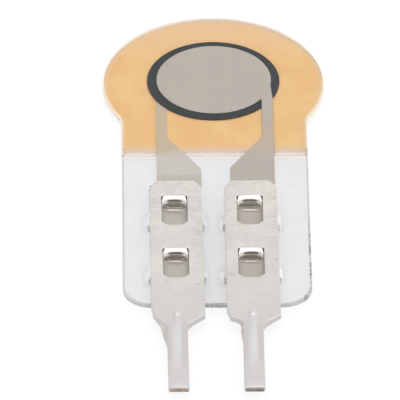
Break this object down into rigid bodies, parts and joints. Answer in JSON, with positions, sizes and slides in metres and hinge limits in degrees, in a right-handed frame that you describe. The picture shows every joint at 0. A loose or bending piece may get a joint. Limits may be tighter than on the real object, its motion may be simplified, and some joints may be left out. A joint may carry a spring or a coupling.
{
  "type": "force sensing resistor",
  "caption": "Thin-film force sensor with a round head, a clear film tail and two clinched metal solder terminals.",
  "frame": {"origin": "middle of the round head on the rear face of the release liner", "axes": "+Z out of the printed face, +Y from the solder tabs towards the round head, +X to the right seen from the front"},
  "size_m": [0.0076, 0.0212, 0.0006],
  "materials": {
    "liner_paper": "matt tan release paper",
    "clear_adhesive": "clear soft adhesive film",
    "clear_film": "clear polyester film",
    "silver_ink": "matt silver-filled ink",
    "carbon_ink": "matt black sensing ink",
    "tinned_metal": "satin tin plate, polished where it was bent, bare copper alloy at the cut tab ends"
  },
  "bodies": {
    "root": {"release_liner": "liner_paper", "mounting_adhesive": "clear_adhesive", "bottom_film": "clear_film", "bottom_electrode": "silver_ink", "bottom_sensing_ink": "carbon_ink", "spacer_adhesive": "clear_adhesive", "top_sensing_ink": "carbon_ink", "top_electrode": "silver_ink", "top_film": "clear_film", "left_terminal": "tinned_metal", "right_terminal": "tinned_metal"}
  },
  "joints": []
}
